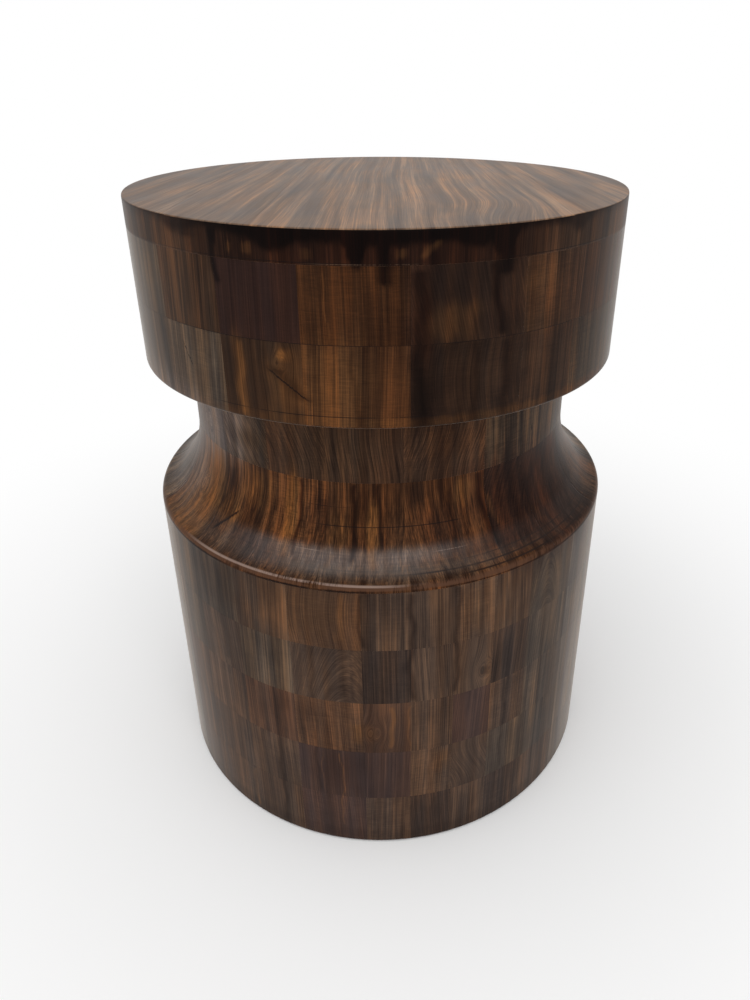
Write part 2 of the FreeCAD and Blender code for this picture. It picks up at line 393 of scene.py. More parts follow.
def plywood():
    """Bare plywood: a dull face veneer, and its plies as stripes on the edge."""
    finish = new_finish("bare_plywood")
    place = finish.place()
    grain = finish.noise(place, (220, 14, 40), 3, 0.6, 0.3)
    cloud = finish.noise(place, (24, 9, 9), 2)
    height = finish.parts(place)[2]
    ply = finish.ease((height * 350).math("PINGPONG", 0.5), 0.2, 0.3)
    facing = finish.parts(finish.add("ShaderNodeNewGeometry", {}, {}, "Normal"))[2]
    edge = finish.ease(abs(facing), 0.6, 0.4)
    tone = (grain - 0.5) * 0.9 + (cloud - 0.5) * 0.7 + 0.5 - edge * ply * 0.45
    dark, middle, light = (0.16, 0.092, 0.048), (0.36, 0.24, 0.14), (0.5, 0.37, 0.24)
    colour = finish.ramp(tone, (0.1, dark), (0.5, middle), (0.9, light))
    bump = finish.bump(grain, 0.3, 0.0004)
    return finish.surface(Base_Color=colour, Roughness=grain * 0.2 + 0.62, Normal=bump)


def zinc():
    """Zinc-plated steel, with faint spangle and fine turning lines."""
    finish = new_finish("zinc_plated_steel")
    place = finish.place()
    spangle = finish.noise(place, (900, 900, 900), 2)
    line = finish.noise(place, (250, 250, 4200), 1)
    colour = finish.ramp(spangle, (0.3, (0.42, 0.41, 0.38)), (0.7, (0.66, 0.64, 0.58)))
    bump = finish.bump(line, 0.2, 0.0001)
    return finish.surface(Base_Color=colour, Roughness=spangle * 0.25 + 0.22, Normal=bump, Metallic=1.0)


def pressed_felt():
    """Brown felt with matted fibres."""
    finish = new_finish("pressed_brown_felt")
    place = finish.place()
    tuft = finish.noise(place, (1100, 1100, 1100), 3, 0.7)
    cloud = finish.noise(place, (160, 160, 160), 2)
    tone = tuft * 0.7 + cloud * 0.3
    colour = finish.ramp(tone, (0.25, (0.05, 0.035, 0.026)), (0.75, (0.2, 0.15, 0.12)))
    bump = finish.bump(tuft, 0.6, 0.0006)
    return finish.surface(Base_Color=colour, Roughness=0.95, Normal=bump, Sheen_Weight=0.3)


# Meshes


def place_mesh(name, mesh):
    """A new object in the scene with a mesh."""
    piece = bpy.data.objects.new(name, mesh)
    bpy.context.scene.collection.objects.link(piece)
    return piece


def sweep(name, loops):
    """A closed mesh through a row of closed loops, with a face over each end."""
    rows, points = loops.shape[:2]
    row = np.arange(rows - 1)[:, None]
    point = np.arange(points)[None, :]
    after = (point + 1) % points
    quads = np.stack([
        row * points + point, row * points + after,
        (row + 1) * points + after, (row + 1) * points + point,
    ], -1).reshape(-1, 4)
    ends = [list(range(points))[::-1], list(range((rows - 1) * points, rows * points))]
    mesh = bpy.data.meshes.new(name)
    mesh.from_pydata(loops.reshape(-1, 3).tolist(), [], quads.tolist() + ends)
    mesh.update()
    return place_mesh(name, mesh)


def corner_places(mesh):
    """Where each face corner is, and which face it belongs to."""
    spots = np.empty(len(mesh.vertices) * 3)
    mesh.vertices.foreach_get("co", spots)
    corners = np.empty(len(mesh.loops), int)
    mesh.loops.foreach_get("vertex_index", corners)
    counts = np.empty(len(mesh.polygons), int)
    mesh.polygons.foreach_get("loop_total", counts)
    return spots.reshape(-1, 3)[corners], np.repeat(np.arange(len(counts)), counts)


def side_faces(mesh, most_rise=0.6):
    """Which faces stand upright: their normals rise less than this."""
    normals = np.empty(len(mesh.polygons) * 3)
    mesh.polygons.foreach_get("normal", normals)
    return np.abs(normals.reshape(-1, 3)[:, 2]) < most_rise


def keep(mesh, name, values):
    """Keep three numbers on each face corner of a mesh, for its finish."""
    layer = mesh.attributes.new(name, "FLOAT_VECTOR", "CORNER")
    layer.data.foreach_set("vector", np.ascontiguousarray(values, np.float32).ravel())


def keep_stain(mesh, stain):
    """Keep a stain on each face corner of a mesh."""
    layer = mesh.attributes.new("stain", "FLOAT_COLOR", "CORNER")
    colours = np.column_stack([stain, np.ones(len(stain))])
    layer.data.foreach_set("color", np.ascontiguousarray(colours, np.float32).ravel())


def smooth_sides(piece, angle=40):
    piece.data.polygons.foreach_set("use_smooth", [True] * len(piece.data.polygons))
    piece.data.set_sharp_from_angle(angle=math.radians(angle))


def dress(piece, material, slot, *nodes):
    """Smooth a piece, give it its material, and let it stand for its solids."""
    smooth_sides(piece)
    piece.data.materials.append(material)
    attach(piece, "root")
    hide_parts(*nodes)


def dress_solid(node, material):
    """Give its material to a solid that shows as it is."""
    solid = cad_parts[node]
    solid.material_slots[0].material = material


# Outlines of the courses, as points of a radius and a height

# Radius of the rolled lip, and how far the lip and the upper arc of the cove turn, in degrees
LIP_RADIUS = 0.006
LIP_TURN = 72
COVE_TURN = 42

# Radius of the upper drum's rounded bottom edge
UPPER_DRUM_EDGE = 0.003


def radius_of(node):
    """The radius of a half ring, no more than its solids reach to the front, back or sides."""
    low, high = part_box(node)
    return min(high.x, max(-low.y, high.y))


def arc(centre, radius, first, last, count):
    """Points along an arc, angles in degrees."""
    angles = [math.radians(first + (last - first) * step / count) for step in range(count + 1)]
    return [(centre[0] + radius * math.cos(a), centre[1] + radius * math.sin(a)) for a in angles]


def upright(radius, low, high, spacing):
    """Points straight up a side, evenly spaced."""
    count = max(2, round((high - low) / spacing))
    return [(radius, low + (high - low) * step / count) for step in range(count + 1)]


def straight_side(radius, low, high, spacing):
    """A drum's side, with its edges eased by a hairline."""
    side = upright(radius, low + HAIRLINE, high - HAIRLINE, spacing)
    return [(radius - HAIRLINE, low), *side, (radius - HAIRLINE, high)]


def rounded_side(radius, low, high, spacing):
    """A drum's side with a rounded bottom edge."""
    edge = UPPER_DRUM_EDGE
    rounding = arc((radius - edge, low + edge), edge, -90, 0, 6)
    side = upright(radius, low + edge, high - HAIRLINE, spacing)
    return [*rounding[:-1], *side, (radius - HAIRLINE, high)]


def cove_side(low, high, foot_radius, neck_radius):
    """A rolled lip and a cove of two arcs, all tangent, as in the solids."""
    cos_turn, sin_turn = math.cos(math.radians(COVE_TURN)), math.sin(math.radians(COVE_TURN))
    cos_roll, sin_roll = math.cos(math.radians(LIP_TURN)), math.sin(math.radians(LIP_TURN))
    roll_x, roll_z = foot_radius - LIP_RADIUS * (1 - cos_roll), LIP_RADIUS * sin_roll
    reach, drop = roll_x - neck_radius, high - low - roll_z
    spread = (1 - cos_turn) * (sin_roll - sin_turn) - (cos_turn - cos_roll) * sin_turn
    upper = (reach * (sin_roll - sin_turn) - drop * (cos_turn - cos_roll)) / spread
    lower = ((1 - cos_turn) * drop - sin_turn * reach) / spread
    lower_centre = (roll_x + lower * cos_roll, low + roll_z + lower * sin_roll)
    return [
        (foot_radius - HAIRLINE, low),
        *arc((foot_radius - LIP_RADIUS, low + HAIRLINE), LIP_RADIUS, 0, LIP_TURN, 8)[:-1],
        *arc(lower_centre, lower, 180 + LIP_TURN, 180 + COVE_TURN, 14)[:-1],
        *arc((neck_radius + upper, high), upper, 180 + COVE_TURN, 180, 26)[:-1],
        (neck_radius, high - HAIRLINE), (neck_radius - HAIRLINE, high),
    ]


def widest(outline):
    """The largest radius of an outline."""
    return max(radius for radius, height in outline)


def course_outline(course, side):
    """The outline of a course, from its bottom edge to its top edge."""
    node = f"{course}_{side}_blocks"
    low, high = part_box(node)
    if course == "cove":
        return cove_side(low.z, high.z, radius_of(node), radius_of("neck_front_blocks"))
    if course == "upper_drum_2":
        return rounded_side(radius_of(node), low.z, high.z, ROW_SPACING[side])
    return straight_side(radius_of(node), low.z, high.z, ROW_SPACING[side])


# Half rings of blocks


def block_joints(widths, side):
    """Angles of the joints of a half ring."""
    joints = [FIRST_JOINT[side]]
    for width in widths:
        joints.append(joints[-1] + width)
    return joints


def block_columns(joints, radius, spacing):
    """Angle, depth of the hairline and block number of each upright line of points."""
    columns = []
    nick = math.degrees(HAIRLINE / radius)
    for number, (first, last) in enumerate(zip(joints, joints[1:])):
        count = round(math.radians(last - first) * radius / spacing)
        columns.append((first, HAIRLINE, number))
        for step in range(count + 1):
            angle = first + nick + (last - first - 2 * nick) * step / count
            columns.append((angle, 0, number))
    columns.append((joints[-1], HAIRLINE, len(joints) - 2))
    return columns


def ring_loops(outline, columns, joints, core):
    """The loops of a half ring: up the outside, over the top, down the flat inner faces."""
    loops = []
    for angle, depth, number in columns:
        middle = (joints[number] + joints[number + 1]) / 2
        inner = core / math.cos(math.radians(angle - middle))
        loop = [(r - depth, z) for r, z in outline] + [(inner, outline[-1][1]), (inner, outline[0][1])]
        sine, cosine = math.sin(math.radians(angle)), math.cos(math.radians(angle))
        loops.append([(r * sine, -r * cosine, z) for r, z in loop])
    return np.array(loops)


def block_numbers(columns, points):
    """The block that each face of a half ring belongs to, its two end faces last."""
    numbers = [number for angle, depth, number in columns[:-1]]
    return np.append(np.repeat(numbers, points), [numbers[0], numbers[-1]])


# Figure of single blocks: how far across the grain a place counts


def knot(across, along, at, height, size):
    """Grain lines that part round a knot."""
    a = across - at
    h = (along - height) * 0.7
    reach = a * a + h * h
    return at + a * (1 - size * size / (reach + 0.35 * size * size))


def arch(across, along, at, height, size):
    """Grain lines that meet in arches, one over the other."""
    a = across - at
    return a * a / size + (along - height) * 0.3


def slant(across, along, at, height, size):
    return across + (along - height) * size


def bow(across, along, at, height, size):
    return across + size * np.sin((along - height) * 60) * 0.01


# Course, angle and height of the place, its size, and how the grain runs there
FIGURES = [
    ("upper_drum_1", 16, 512, 0.3, slant),
    ("upper_drum_2", -16, 470, 0.006, knot),
    ("upper_drum_2", 22, 430, 0.3, bow),
    ("neck", -20, 392, 0.6, bow),
    ("neck", 0, 380, 0.3, bow),
    ("neck", 18, 385, -0.6, bow),
    ("neck", -36, 380, 0.5, slant),
    ("neck", -56, 380, 0.012, knot),
    ("cove", -56, 320, 0.008, knot),
    ("cove", 36, 320, -0.4, slant),
    ("cove", 55, 320, -0.5, slant),
    ("lower_drum_1", -12, 236, 0.25, bow),
    ("lower_drum_1", 44, 225, 0.02, arch),
    ("lower_drum_2", 23, 192, 0.009, knot),
    ("lower_drum_2", -8, 175, 0.05, arch),
    ("lower_drum_3", -3, 139, 0.008, knot),
    ("lower_drum_4", 22, 85, 0.8, bow),
]

# How strongly the stripes still show in such a block
FIGURED = 0.75


# Marks and patches of the front

# Streaks: angle, half width in degrees, top and bottom height, lean in degrees from top to
# bottom, and how strong it is
DARK_STREAKS = [
    (-2, 1.4, 561, 541, 0, 1.0), (2.8, 1.3, 561, 525, 0.5, 1.1), (24.8, 2.4, 561, 527, 0, 1.0),
    (-29.2, 0.8, 561, 520, 0, 0.9), (-17, 2.2, 561, 546, 0, 0.8), (-36, 3, 561, 548, 0, 0.7),
    (9.3, 2.0, 536, 424, 0, 0.7), (23.5, 1.4, 538, 486, 1.5, 0.75), (-33, 1.2, 484, 424, 0, 0.2),
    (-3, 0.8, 484, 424, 0.5, 0.4), (20, 0.9, 484, 424, 0, 0.45),
    (26, 1.3, 484, 424, 0.5, 0.5), (-19.5, 0.7, 360, 300, 0, 0.75), (-19, 2.4, 468, 442, 8, 0.5),
    (-5, 0.9, 360, 300, -0.5, 0.8), (1.2, 0.7, 360, 308, 0, 0.75), (28, 1.4, 360, 300, 2, 0.75),
    (10.5, 1.8, 362, 338, 0, 0.4), (-38, 0.6, 318, 299, -6, 0.9), (19, 0.8, 350, 304, 1, 0.6),
    (-13, 0.7, 345, 302, 0, 0.5), (-27, 1.2, 340, 304, 0, 0.5), (-42, 1.5, 350, 316, -3, 0.5),
    (-3, 0.6, 287, 232, 0, 0.5), (7.7, 0.9, 287, 174, 0, 0.6), (17.7, 0.9, 287, 176, 0.3, 0.55),
    (-14.3, 0.5, 230, 62, 0, 0.4), (24.5, 1.6, 197, 185, 0, 0.5), (-38, 1.6, 287, 180, 0, 0.35),
    (31, 0.7, 173, 62, 0, 0.4), (-24, 0.9, 116, 4, 0, 0.45), (12.5, 0.7, 116, 10, 0, 0.4),
]
BRIGHT_STREAKS = [
    (-26, 0.9, 551, 541, 0, 0.6), (-21.5, 1.6, 552, 541, 0, 0.7), (-10.2, 2.2, 550, 540, 0, 0.5),
    (5.4, 1.3, 550, 541, 0, 0.7), (12.5, 1.4, 554, 541, -4, 0.6), (-7.5, 0.3, 536, 486, 0, 0.7),
    (15.5, 2.2, 506, 490, 0, 0.35), (-25.5, 1.1, 484, 426, 0, 0.7), (-16, 1.0, 480, 472, 0, 0.9),
    (-9, 2.2, 484, 428, 0, 0.45), (-22, 1.6, 364, 298, 0, 0.7), (-0.5, 1.3, 342, 297, 0, 0.9),
    (23, 1.8, 358, 330, 0.5, 0.5), (-33, 3, 358, 322, 0, 0.4), (-18, 4.5, 286, 236, 0, 0.3),
    (-7.5, 2.0, 286, 236, 0, 0.5), (23, 2.6, 286, 236, 0, 0.4), (29, 1.8, 286, 236, 0, 0.4),
    (3.3, 0.8, 170, 120, 0, 0.8), (7.3, 0.4, 170, 120, 0, 0.7), (-8.5, 0.3, 114, 20, 0, 0.8),
    (-13, 0.25, 114, 60, 0, 0.6), (15, 1.6, 114, 96, 0, 0.5), (-33, 0.9, 58, 6, 0, 0.7),
    (-4.5, 1.6, 150, 124, 0, 0.5), (-38, 2.5, 322, 300, -3, 0.6), (44, 2, 318, 300, 4, 0.4),
    (-10.5, 1.1, 307, 296, -1, 0.6), (-5, 0.6, 305, 297, 0, 0.6), (6, 0.5, 308, 295, 0.5, 0.6),
    (14, 0.8, 307, 296, 3, 0.7), (17.5, 0.5, 306, 297, 3, 0.7), (30, 1.2, 340, 312, 3, 0.6),
]

# Patches of another stain: angle, height, half width in degrees, half height, the stain, and how
# strong it is. The pale haze and grey patches at the left and above the lip are painted sheen.
PATCHES = [
    (36, 512, 6, 24, "gold", 0.3), (15.5, 499, 5, 13, "gold", 0.35), (-36, 512, 5, 30, "walnut", 0.4),
    (45, 512, 14, 30, "chestnut", 0.6), (9, 512, 2.5, 40, "russet", 0.6),
    (-25.5, 455, 1.4, 30, "gold", 0.6), (-47, 450, 12, 40, "walnut", 0.3), (-16, 452, 4, 24, "gold", 0.5),
    (-16, 476, 1.6, 5, "gold", 0.8), (40, 455, 11, 30, "walnut", 0.4), (-6, 455, 7, 30, "gold", 0.35),
    (20, 455, 5, 30, "walnut", 0.5), (0, 428, 45, 4, "gold", 0.3), (50, 428, 10, 5, "amber", 0.5),
    (-56, 395, 18, 40, "haze", 1.0), (-10, 385, 12, 25, "olive", 0.4), (20, 392, 8, 14, "amber", 0.4),
    (-22, 332, 1.9, 30, "gold", 0.9), (-0.6, 324, 1.6, 18, "gold", 1.0), (-9, 318, 2.6, 16, "gold", 0.6),
    (-45, 318, 7, 14, "gold", 0.8), (-56, 310, 6, 12, "gold", 0.5), (-33, 342, 5, 18, "gold", 0.5),
    (23, 346, 2.5, 12, "gold", 0.6), (10.5, 350, 2.6, 12, "umber", 0.5), (5, 306, 8, 7, "gold", 0.5),
    (-14, 335, 3.5, 16, "chestnut", 0.6), (17, 318, 5, 20, "russet", 0.6), (-8, 304, 26, 5, "haze", 0.75),
    (-10, 296, 50, 4, "ash", 0.5), (35, 292, 5, 4, "gold", 0.7), (42, 325, 18, 45, "oxblood", 0.8),
    (-28, 300, 8, 8, "plum", 0.6), (-66, 330, 10, 30, "haze", 0.6),
    (-17, 262, 12, 26, "gold", 0.25), (25, 262, 8, 26, "gold", 0.25), (3, 262, 4, 24, "umber", 0.3),
    (-40, 262, 7, 26, "walnut", 0.5), (-21, 142, 7, 30, "russet", 0.35), (-3, 139, 3, 10, "gold", 0.4),
    # The last umber patch makes the foot's front darker towards the floor
    (15, 98, 2, 12, "gold", 0.35), (-9, 88, 6, 26, "plum", 0.4), (0, 8, 80, 8, "umber", 0.3),
]

# Drips of the dark stain below the rim: angle, half width and how far down they run
DRIPS = [
    (-38, 4, 5), (-29, 0.9, 12), (-17, 3.2, 5), (-2, 1.5, 14),
    (3, 0.8, 9), (20, 3.5, 4), (25, 2.2, 14), (43, 2.5, 6),
]

# Height of the top in millimetres
TOP_HEIGHT = 561

# The worn band above the lip: metres over the lip where it starts, is full, fades and ends, and
# how far it takes away the stripes
WORN_BAND = (0.004, 0.011, 0.018, 0.027)
WORN_AWAY = 0.45

# How much higher every patch sits than its row says, in its half heights
PATCH_LIFT = 0.0286

# The mean depth of the dark band under the rim away from the front, in millimetres
RIM_DEPTH = 3.2714

# The radius at which grain that runs round the table is measured
FLOW_RADIUS = 0.2


def smooth(values, low, high):
    """A smooth step from 0 to 1 as the values go from low to high."""
    share = np.clip((values - low) / (high - low), 0, 1)
    return share * share * (3 - 2 * share)


def turns_of(places):
    """The angle of each place round the table, in radians."""
    return np.arctan2(places[:, 0], -places[:, 1])


def streaks(angle, height, rows):
    """How strongly a list of streaks marks each place."""
    total = np.zeros_like(angle)
    for at, half, top, bottom, lean, strength in rows:
        share = np.clip((top - height) / (top - bottom), 0, 1)
        sway = 0.35 * np.sin(height * 0.09 + at) + 0.2 * np.sin(height * 0.23 + at * 2)
        aside = np.abs(angle - at - lean * share + sway) / half
        end = min(4.0, (top - bottom) * 0.35)
        fade = np.clip(np.minimum(top - height, height - bottom) / end + 0.35, 0, 1)
        total = np.maximum(total, strength * np.exp(-(aside ** 2)) * fade)
    return total


def patch(stain, angle, height):
    """Lay the patches over the stain, with wavy edges, painted sheen among them."""
    for at, middle, half, reach, name, strength in PATCHES:
        aside = (angle - at) / half + 0.15 * np.sin(height * 0.2 + at)
        away = (height - middle) / reach - PATCH_LIFT + 0.15 * np.sin(angle * 1.7 + at)
        share = (strength * np.exp(-aside ** 4 - away ** 4))[:, None]
        stain = stain * (1 - share) + np.array(STAINS[name]) * share
    return stain


def dark_rim(angle, height):
    """The dark wavy band under the rim of the top, deepest at the front."""
    depth = RIM_DEPTH + 5 * np.exp(-(angle / 24) ** 4) + 1.2 * np.sin(angle * 0.31 + 1)
    for at, half, drop in DRIPS:
        depth = depth + drop * np.exp(-((angle - at) / half) ** 4)
    band = smooth(height, TOP_HEIGHT - depth - 7, TOP_HEIGHT - depth + 4)
    return band * (0.6 + 0.55 * np.exp(-(angle / 40) ** 4))


def worn_band(places, lip):
    """How strongly the band above the lip is worn, most of all at the front."""
    start, full, fading, end = (lip + rise for rise in WORN_BAND)
    height = places[:, 2]
    around = 0.1 + 0.8 * np.exp(-((np.degrees(turns_of(places)) + 5) / 34) ** 4)
    return smooth(height, start, full) * smooth(height, end, fading) * around


def round_grain(places):
    """Grain that stands upright all round the table: across, into and along it."""
    turn = turns_of(places)
    return np.stack([turn * FLOW_RADIUS, np.zeros(len(turn)), places[:, 2]], -1)


def mark(mesh, places, on_side, ripple, boldness, gloss):
    """Keep the streaks of the front and the figure of the grain."""
    angle = np.degrees(turns_of(places))
    height = places[:, 2] * MILLIMETRES
    dark = np.maximum(streaks(angle, height, DARK_STREAKS), dark_rim(angle, height))
    bright = streaks(angle, height, BRIGHT_STREAKS)
    not_used = np.zeros(len(places))
    keep(mesh, "marks", np.stack([dark * on_side, bright * on_side, gloss], -1))
    keep(mesh, "figure", np.stack([ripple, boldness, not_used], -1))


# Stain and grain of the blocks

# How fast the grain changes from the face of the cove inwards, so that its stripes follow the curve
COVE_DEPTH = 0.15


def back_stains(widths, rng):
    """The stains of a back half ring: mixed, and pale grey at its ends with the same painted side sheen
    as the sides of the front.
    """
    names = [rng.choice(BACK_STAINS) for _ in widths]
    ends = len(widths) // 5
    return ["ash"] * ends + names[ends:-ends] + ["ash"] * ends


def draw_blocks(course, side, widths, rng):
    """What differs from block to block: stain, shade, curl, place in the noise, and lean."""
    return SimpleNamespace(
        stains=FRONT_STAINS[course].split() if side == "front" else back_stains(widths, rng),
        shades=np.array([rng.uniform(0.93, 1.08) for _ in widths]),
        ripples=np.array([rng.choice([0.1, 0.15, 0.25, 0.4]) for _ in widths]),
        offsets=np.array([[rng.uniform(0, 9) for _ in range(3)] for _ in widths]),
        leans=np.array([rng.uniform(-0.07, 0.07) for _ in widths]),
    )


def block_grain(course, places, joints, block, leans):
    """Where each place is across, into and along the grain of its block."""
    middles = np.radians([(a + b) / 2 for a, b in zip(joints, joints[1:])])[block]
    x, y, z = places.T
    across = x * np.cos(middles) + y * np.sin(middles) + leans[block] * z
    depth = x * np.sin(middles) - y * np.cos(middles)
    return np.stack([across, depth * (COVE_DEPTH if course == "cove" else 1), z], -1)


def lay_figures(course, joints, radius, block, grain, boldness):
    """Bend the grain of the blocks that have a figure, and quieten their stripes."""
    for place, angle, height, size, flow in FIGURES:
        if place != course:
            continue
        number = sum(joint <= angle for joint in joints) - 1
        middle = math.radians(joints[number] + joints[number + 1]) / 2
        at = radius * math.sin(math.radians(angle) - middle)
        inside = block == number
        across, along = grain[inside, 0], grain[inside, 2]
        grain[inside, 0] = flow(across, along, at, height / MILLIMETRES, size)
        boldness[inside] *= FIGURED


def block_stain(kind, blocks, block):
    """The stain at each place of a half ring, drawn a little towards the ring's mean, times its course's
    tint and painted reflection.
    """
    stains = np.array([STAINS[name] for name in blocks.stains]) * COURSE_TINT_AND_REFLECTION[kind]
    stains = stains + (stains.mean(0) - stains) * EVENNESS[kind]
    return stains[block] * blocks.shades[block][:, None]


def lay_blocks(course, side, rng, material):
    """One half ring of blocks, each with its own stain and its own run of grain."""
    widths = COURSES[course]
    outline = course_outline(course, side)
    joints = block_joints(widths, side)
    columns = block_columns(joints, widest(outline), COLUMN_SPACING[side])
    core = FOOT_CORE if course == "lower_drum_5" else CORE
    loops = ring_loops(outline, columns, joints, core)
    piece = sweep(f"{course}_{side}", loops)
    numbers = block_numbers(columns, loops.shape[1])
    blocks = draw_blocks(course, side, widths, rng)
    paint_blocks(piece.data, course, side, outline, joints, numbers, blocks)
    dress(piece, material, "stained_blocks", f"{course}_{side}_blocks")


def paint_blocks(mesh, course, side, outline, joints, numbers, blocks):
    """Keep the grain, stain and marks of a half ring on its mesh."""
    kind = course.split("_")[0]
    places, faces = corner_places(mesh)
    block = numbers[faces]
    boldness = np.array([BOLDNESS[kind] * QUIET_STAINS.get(name, 1) for name in blocks.stains])[block]
    grain = block_grain(course, places, joints, block, blocks.leans)
    stain = block_stain(kind, blocks, block)
    if side == "front":
        lay_figures(course, joints, widest(outline), block, grain, boldness)
        stain = patch(stain, np.degrees(turns_of(places)), places[:, 2] * MILLIMETRES)
    keep(mesh, "grain", grain + blocks.offsets[block])
    keep(mesh, "flow", round_grain(places))
    keep_stain(mesh, stain)
    gloss = worn_band(places, outline[0][1]) if course == "cove" else np.zeros(len(places))
    boldness = boldness * (1 - WORN_AWAY * gloss)
    mark(mesh, places, np.ones(len(places)), blocks.ripples[block], boldness, gloss)


# The planked top

# Brightness of each plank, from left to right
PLANK_SHADES = [0.98, 0.97, 1.0, 1.02, 1.0, 0.97]

# How far a plank's solid stops short of the middle of a joint
HALF_GLUE_LINE = 0.0001

# Where the rim's grain and the broad bands of the top lie in the noise
RIM_SHIFT = 4
BAND_SCALE = 1.3
BAND_SHIFT = 2

# Rounding of the rim, depth of the fine line between two planks, and the last angle before a tip
RIM_EDGE = 0.0015
PLANK_NICK = 0.00002
TIP_ANGLE = 89.6

# How close the points of a plank's mesh are round the rim and up it, and how many cross the top
PLANK_SPACING = 0.0022
RIM_SPACING = 0.002
TOP_POINTS = 141

# Streaks of the top: where across and half width, front end and back end in metres, the stain,
# and how strong it is
TOP_STREAKS = [
    (-0.139, 0.0014, -0.135, 0.09, "orange", 0.9), (-0.176, 0.004, -0.1, 0.1, "slate", 0.3),
    (-0.094, 0.0035, -0.17, 0.12, "orange", 0.35), (-0.080, 0.006, -0.2, 0.2, "slate", 0.45),
    (-0.058, 0.003, -0.2, 0.14, "orange", 0.3), (-0.046, 0.004, -0.2, 0.2, "slate", 0.4),
    (-0.024, 0.0025, -0.2, 0.2, "orange", 0.3), (-0.004, 0.009, -0.2, -0.14, "orange", 0.9),
    (0.016, 0.007, -0.2, 0.2, "slate", 0.5), (0.034, 0.003, -0.2, 0.2, "orange", 0.3),
    (0.052, 0.005, -0.2, 0.2, "slate", 0.35), (0.076, 0.004, -0.17, 0.15, "orange", 0.4),
    (0.094, 0.005, -0.18, 0.12, "slate", 0.45), (0.118, 0.003, -0.15, 0.1, "orange", 0.3),
    (0.150, 0.007, -0.1, 0.1, "slate", 0.3), (0.060, 0.012, -0.19, -0.15, "orange", 0.25),
]


def plank_turns(left, right, radius):
    """The angle of each loop of a plank, and how deep its top lies for the joint."""
    first = max(math.degrees(math.asin(max(left / radius, -1))), -TIP_ANGLE)
    last = min(math.degrees(math.asin(min(right / radius, 1))), TIP_ANGLE)
    count = round(math.radians(last - first) * radius / PLANK_SPACING)
    nick = math.degrees(HAIRLINE / radius)
    inner = [(first + nick + (last - first - 2 * nick) * step / count, 0) for step in range(count + 1)]
    return [(first, PLANK_NICK), *inner, (last, PLANK_NICK)]


def plank_loops(left, right, radius, low, high):
    """The loops of a plank from left to right: up its front rim, over the top, down its back rim."""
    rim = arc((0, 0), RIM_EDGE, 0, 90, 5)
    shares = np.linspace(1, -1, TOP_POINTS)[1:-1]
    loops = []
    for turn, depth in plank_turns(left, right, radius):
        x = radius * math.sin(math.radians(turn))
        y = radius * math.cos(math.radians(turn))
        flat = max(y - RIM_EDGE, y * 0.5)
        front = [(y - HAIRLINE, low)]
        front += upright(y, low + HAIRLINE, high - RIM_EDGE - RIM_SPACING / 2, RIM_SPACING)
        front += [(max(y + a - RIM_EDGE, flat), high - RIM_EDGE + b - depth) for a, b in rim]
        top = [(share * flat, high - depth) for share in shares]
        back = [(-a, b) for a, b in front[::-1]]
        loops.append([(x, -a, b) for a, b in front + top + back])
    return np.array(loops)


def plank_grain(places, radius):
    """The grain of the top, which runs from front to back and bends a little."""
    x, y, z = places.T
    bend = 0.0035 * np.sin(y * 9 + x * 7 + 0.9) * np.exp(-((x - 0.03) / 0.1) ** 2)
    sweeping = 0.02 * smooth(-y, 0.09, 0.2) * np.exp(-((x - 0.09) / 0.04) ** 2)
    across = x * (1 + 0.12 * y / radius) + bend + sweeping + 0.0006 * np.sin(y * 30 + x * 30)
    return np.stack([across, np.zeros(len(x)), y], -1)


def top_stain(grain, shade):
    """The tan stain of the top, with its broad streaks."""
    across, _, along = grain.T
    stain = np.tile(np.array(STAINS["tan"]) * shade, (len(grain), 1))
    for at, half, front, back, name, strength in TOP_STREAKS:
        aside = (across - at + 0.001 * np.sin(along * 25 + at * 90)) / half
        away = (along - (front + back) / 2) / ((back - front) / 2)
        share = (strength * 0.65 * np.exp(-aside ** 2 - away ** 6))[:, None]
        stain = stain * (1 - share) + np.array(STAINS[name]) * share
    return stain


def rim_stain(places):
    """The dark stain of the rim, darkest at the front."""
    front = np.exp(-(np.degrees(turns_of(places)) / 36) ** 4)[:, None]
    return np.array(STAINS["walnut"]) * (1 - front) + np.array(STAINS["oxblood"]) * front * 0.8


def paint_plank(mesh, radius, shade):
    """Keep the grain, stain and marks of a plank: lengthwise on top, upright on the rim."""
    places, faces = corner_places(mesh)
    on_rim = side_faces(mesh)[faces]
    rim = on_rim[:, None]
    lengthwise = plank_grain(places, radius)
    upwards = round_grain(places)
    keep(mesh, "grain", np.where(rim, upwards + RIM_SHIFT, lengthwise))
    keep(mesh, "flow", np.where(rim, upwards, lengthwise * BAND_SCALE + BAND_SHIFT))
    keep_stain(mesh, np.where(rim, rim_stain(places), top_stain(lengthwise, shade)))
    plain = np.zeros(len(places))
    mark(mesh, places, on_rim, plain, np.where(on_rim, 0.8, 0.72), plain)


def lay_planks(material):
    """Six planks with their grain from front to back."""
    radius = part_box("top_plank_3")[1].y
    for number, shade in enumerate(PLANK_SHADES, start=1):
        low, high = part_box(f"top_plank_{number}")
        left = low.x - (HALF_GLUE_LINE if number > 1 else 0)
        right = high.x + (HALF_GLUE_LINE if number < len(PLANK_SHADES) else 0)
        piece = sweep(f"top_plank_{number}_board", plank_loops(left, right, radius, low.z, high.z))
        paint_plank(piece.data, radius, shade)
        dress(piece, material, "top_planks", f"top_plank_{number}")


# Felt pads

# Half the side of a pad, the radius of its corners, and where the pads are round the foot
FELT_HALF = 0.015
FELT_CORNER = 0.004
FELT_ANGLES = [-45, 45, 135, 225]

# How far a pad's edge draws in, and at which height
FELT_EDGE = [(0.0006, 0), (0.0001, 0.0004), (0, 0.001), (0.0002, 0.0016), (0.0007, 0.002)]


